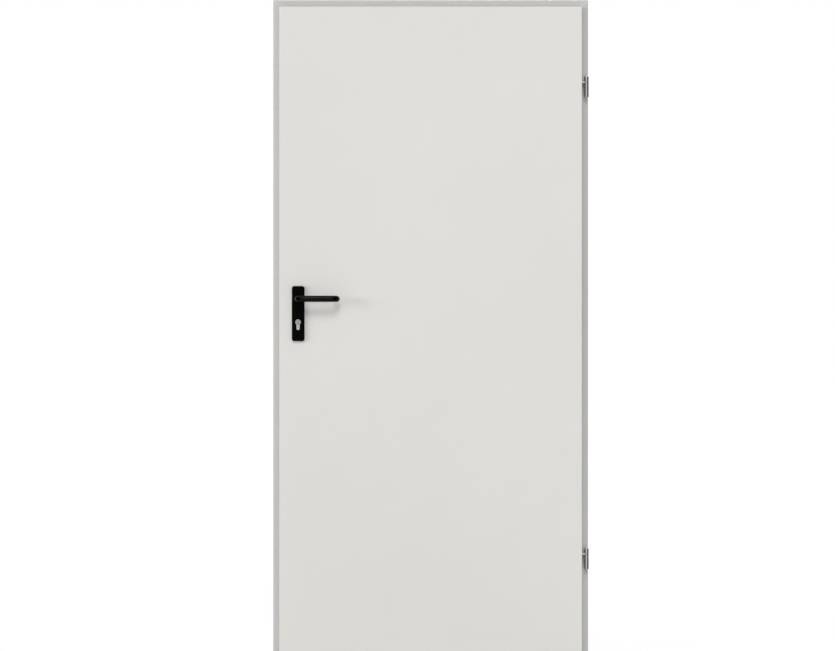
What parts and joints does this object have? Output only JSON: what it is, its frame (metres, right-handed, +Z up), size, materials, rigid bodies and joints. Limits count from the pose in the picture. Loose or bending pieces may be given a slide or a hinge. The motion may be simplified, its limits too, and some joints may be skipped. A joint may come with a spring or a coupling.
{
  "type": "steel door with frame",
  "caption": "Flush steel door leaf that laps over a folded steel frame, hung on pin hinges, with a lever handle on long plates, a mortise lock and a profile cylinder.",
  "frame": {"origin": "on the wall flange at the back of the hinge jamb, straight behind the hinge axis, at floor level", "axes": "+X to the hinge side as seen from the front, +Y into the wall, out of the wall flange, +Z up"},
  "size_m": [0.981, 0.1554, 2.04],
  "materials": {
    "leaf_paint": "satin",
    "frame_paint": "satin",
    "seal_rubber": "matte",
    "zinc_steel": "zinc plated",
    "hinge_steel": "polished",
    "nickel": "satin nickel",
    "black_plastic": "satin",
    "washer_plastic": "matte",
    "core_paper": "matte"
  },
  "bodies": {
    "frame": {"lock_jamb": "frame_paint", "hinge_jamb": "frame_paint", "frame_head": "frame_paint", "lock_jamb_seal": "seal_rubber", "hinge_jamb_seal": "seal_rubber", "head_seal": "seal_rubber", "lock_jamb_brackets": "zinc_steel", "hinge_jamb_brackets": "zinc_steel", "bolt_keep": "zinc_steel", "lower_hinge_frame_knuckle": "hinge_steel", "lower_hinge_pin": "hinge_steel", "lower_hinge_washer": "washer_plastic", "upper_hinge_frame_knuckle": "hinge_steel", "upper_hinge_pin": "hinge_steel", "upper_hinge_washer": "washer_plastic"},
    "leaf": {"leaf_front_skin": "leaf_paint", "leaf_back_skin": "leaf_paint", "leaf_core": "core_paper", "leaf_core_below_lock": "core_paper", "leaf_core_above_lock": "core_paper", "lock_case": "zinc_steel", "lock_faceplate": "zinc_steel", "cylinder_body": "nickel", "inner_cylinder_plug": "nickel", "outer_backplate": "black_plastic", "inner_backplate": "black_plastic", "lower_hinge_leaf_knuckle": "hinge_steel", "upper_hinge_leaf_knuckle": "hinge_steel"},
    "handle": {"outer_lever": "black_plastic", "inner_lever": "black_plastic", "lever_spindle": "zinc_steel"},
    "latch": {"latch_bolt": "nickel"},
    "bolt": {"dead_bolt": "nickel"},
    "plug": {"outer_cylinder_plug": "nickel"}
  },
  "joints": [
    {"name": "door_swing", "type": "hinge", "parent": "frame", "child": "leaf", "pos_m": [0, -0.02425, 0], "axis": [0, 0, 1], "range_deg": [0, 170]},
    {"name": "lever_turn", "type": "hinge", "parent": "leaf", "child": "handle", "pos_m": [-0.895, -0.0115, 1.109], "axis": [0, 1, 0], "range_deg": [0, 40], "stiffness_Nm_per_rad": 1, "springref_deg": -28.65},
    {"name": "latch_slide", "type": "slide", "parent": "leaf", "child": "latch", "axis": [1, 0, 0], "range_m": [0, 0.012]},
    {"name": "cylinder_turn", "type": "hinge", "parent": "leaf", "child": "plug", "pos_m": [-0.895, -0.0415, 1.037], "axis": [0, -1, 0], "range_deg": [0, 360]},
    {"name": "bolt_slide", "type": "slide", "parent": "leaf", "child": "bolt", "axis": [-1, 0, 0], "range_m": [0, 0.02]}
  ],
  "couplings": [
    {"joint": "latch_slide", "follows": "lever_turn", "m_per_rad": 0.017188},
    {"joint": "cylinder_turn", "follows": "bolt_slide", "rad_per_m": 314.16}
  ]
}
